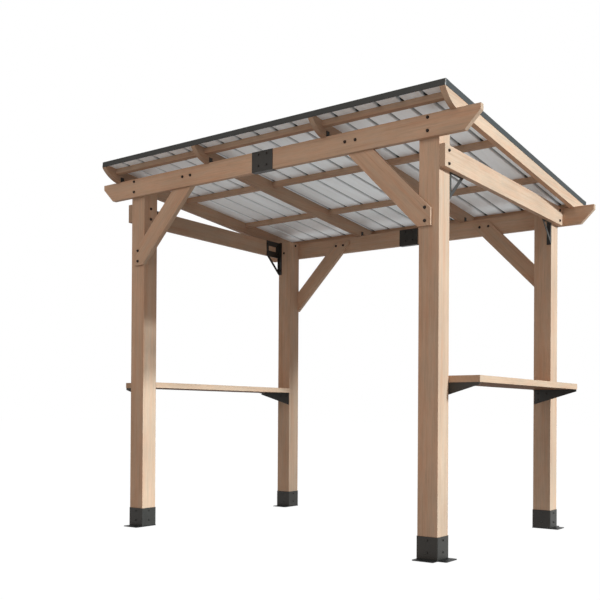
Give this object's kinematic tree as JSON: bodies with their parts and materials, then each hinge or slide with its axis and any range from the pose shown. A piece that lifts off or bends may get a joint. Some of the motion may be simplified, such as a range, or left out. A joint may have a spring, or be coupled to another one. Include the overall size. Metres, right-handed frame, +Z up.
{
  "type": "garden gazebo",
  "caption": "Open timber garden gazebo with a single-slope ribbed metal roof, knee-braced posts on steel bases and a bar shelf along each side.",
  "frame": {"origin": "on the ground under the middle of the whole gazebo's plan", "axes": "+Z up, +X to the right along the high front, +Y from the high front to the low rear"},
  "size_m": [2.93, 2.2522, 2.554],
  "materials": {
    "timber": "smooth planed light brown stain",
    "black_steel": "matt black powder coat",
    "roof_metal": "satin light grey",
    "trim_metal": "matt dark grey"
  },
  "bodies": {
    "root": {"brace_front_left": "timber", "brace_front_right": "timber", "brace_rear_left": "timber", "brace_rear_right": "timber", "corner_bracket_front_left": "black_steel", "corner_bracket_front_right": "black_steel", "corner_bracket_rear_left": "black_steel", "corner_bracket_rear_right": "black_steel", "front_beam_left": "timber", "front_beam_right": "timber", "front_splice_plate": "black_steel", "post_base_front_left": "black_steel", "post_base_front_right": "black_steel", "post_base_rear_left": "black_steel", "post_base_rear_right": "black_steel", "post_front_left": "timber", "post_front_right": "timber", "post_rear_left": "timber", "post_rear_right": "timber", "purlins_front": "timber", "purlins_front_edge": "timber", "purlins_rear": "timber", "purlins_rear_edge": "timber", "rafter_left": "timber", "rafter_middle_left": "timber", "rafter_middle_right": "timber", "rafter_right": "timber", "rafter_ties": "black_steel", "rear_beam_left": "timber", "rear_beam_right": "timber", "rear_splice_plate": "black_steel", "roof_sheet_left": "roof_metal", "roof_sheet_middle": "roof_metal", "roof_sheet_right": "roof_metal", "roof_trim_front": "trim_metal", "roof_trim_left": "trim_metal", "roof_trim_rear": "trim_metal", "roof_trim_right": "trim_metal", "shelf_brackets_left": "black_steel", "shelf_brackets_right": "black_steel", "shelf_left": "timber", "shelf_right": "timber", "side_beam_left": "timber", "side_beam_right": "timber"}
  },
  "joints": []
}
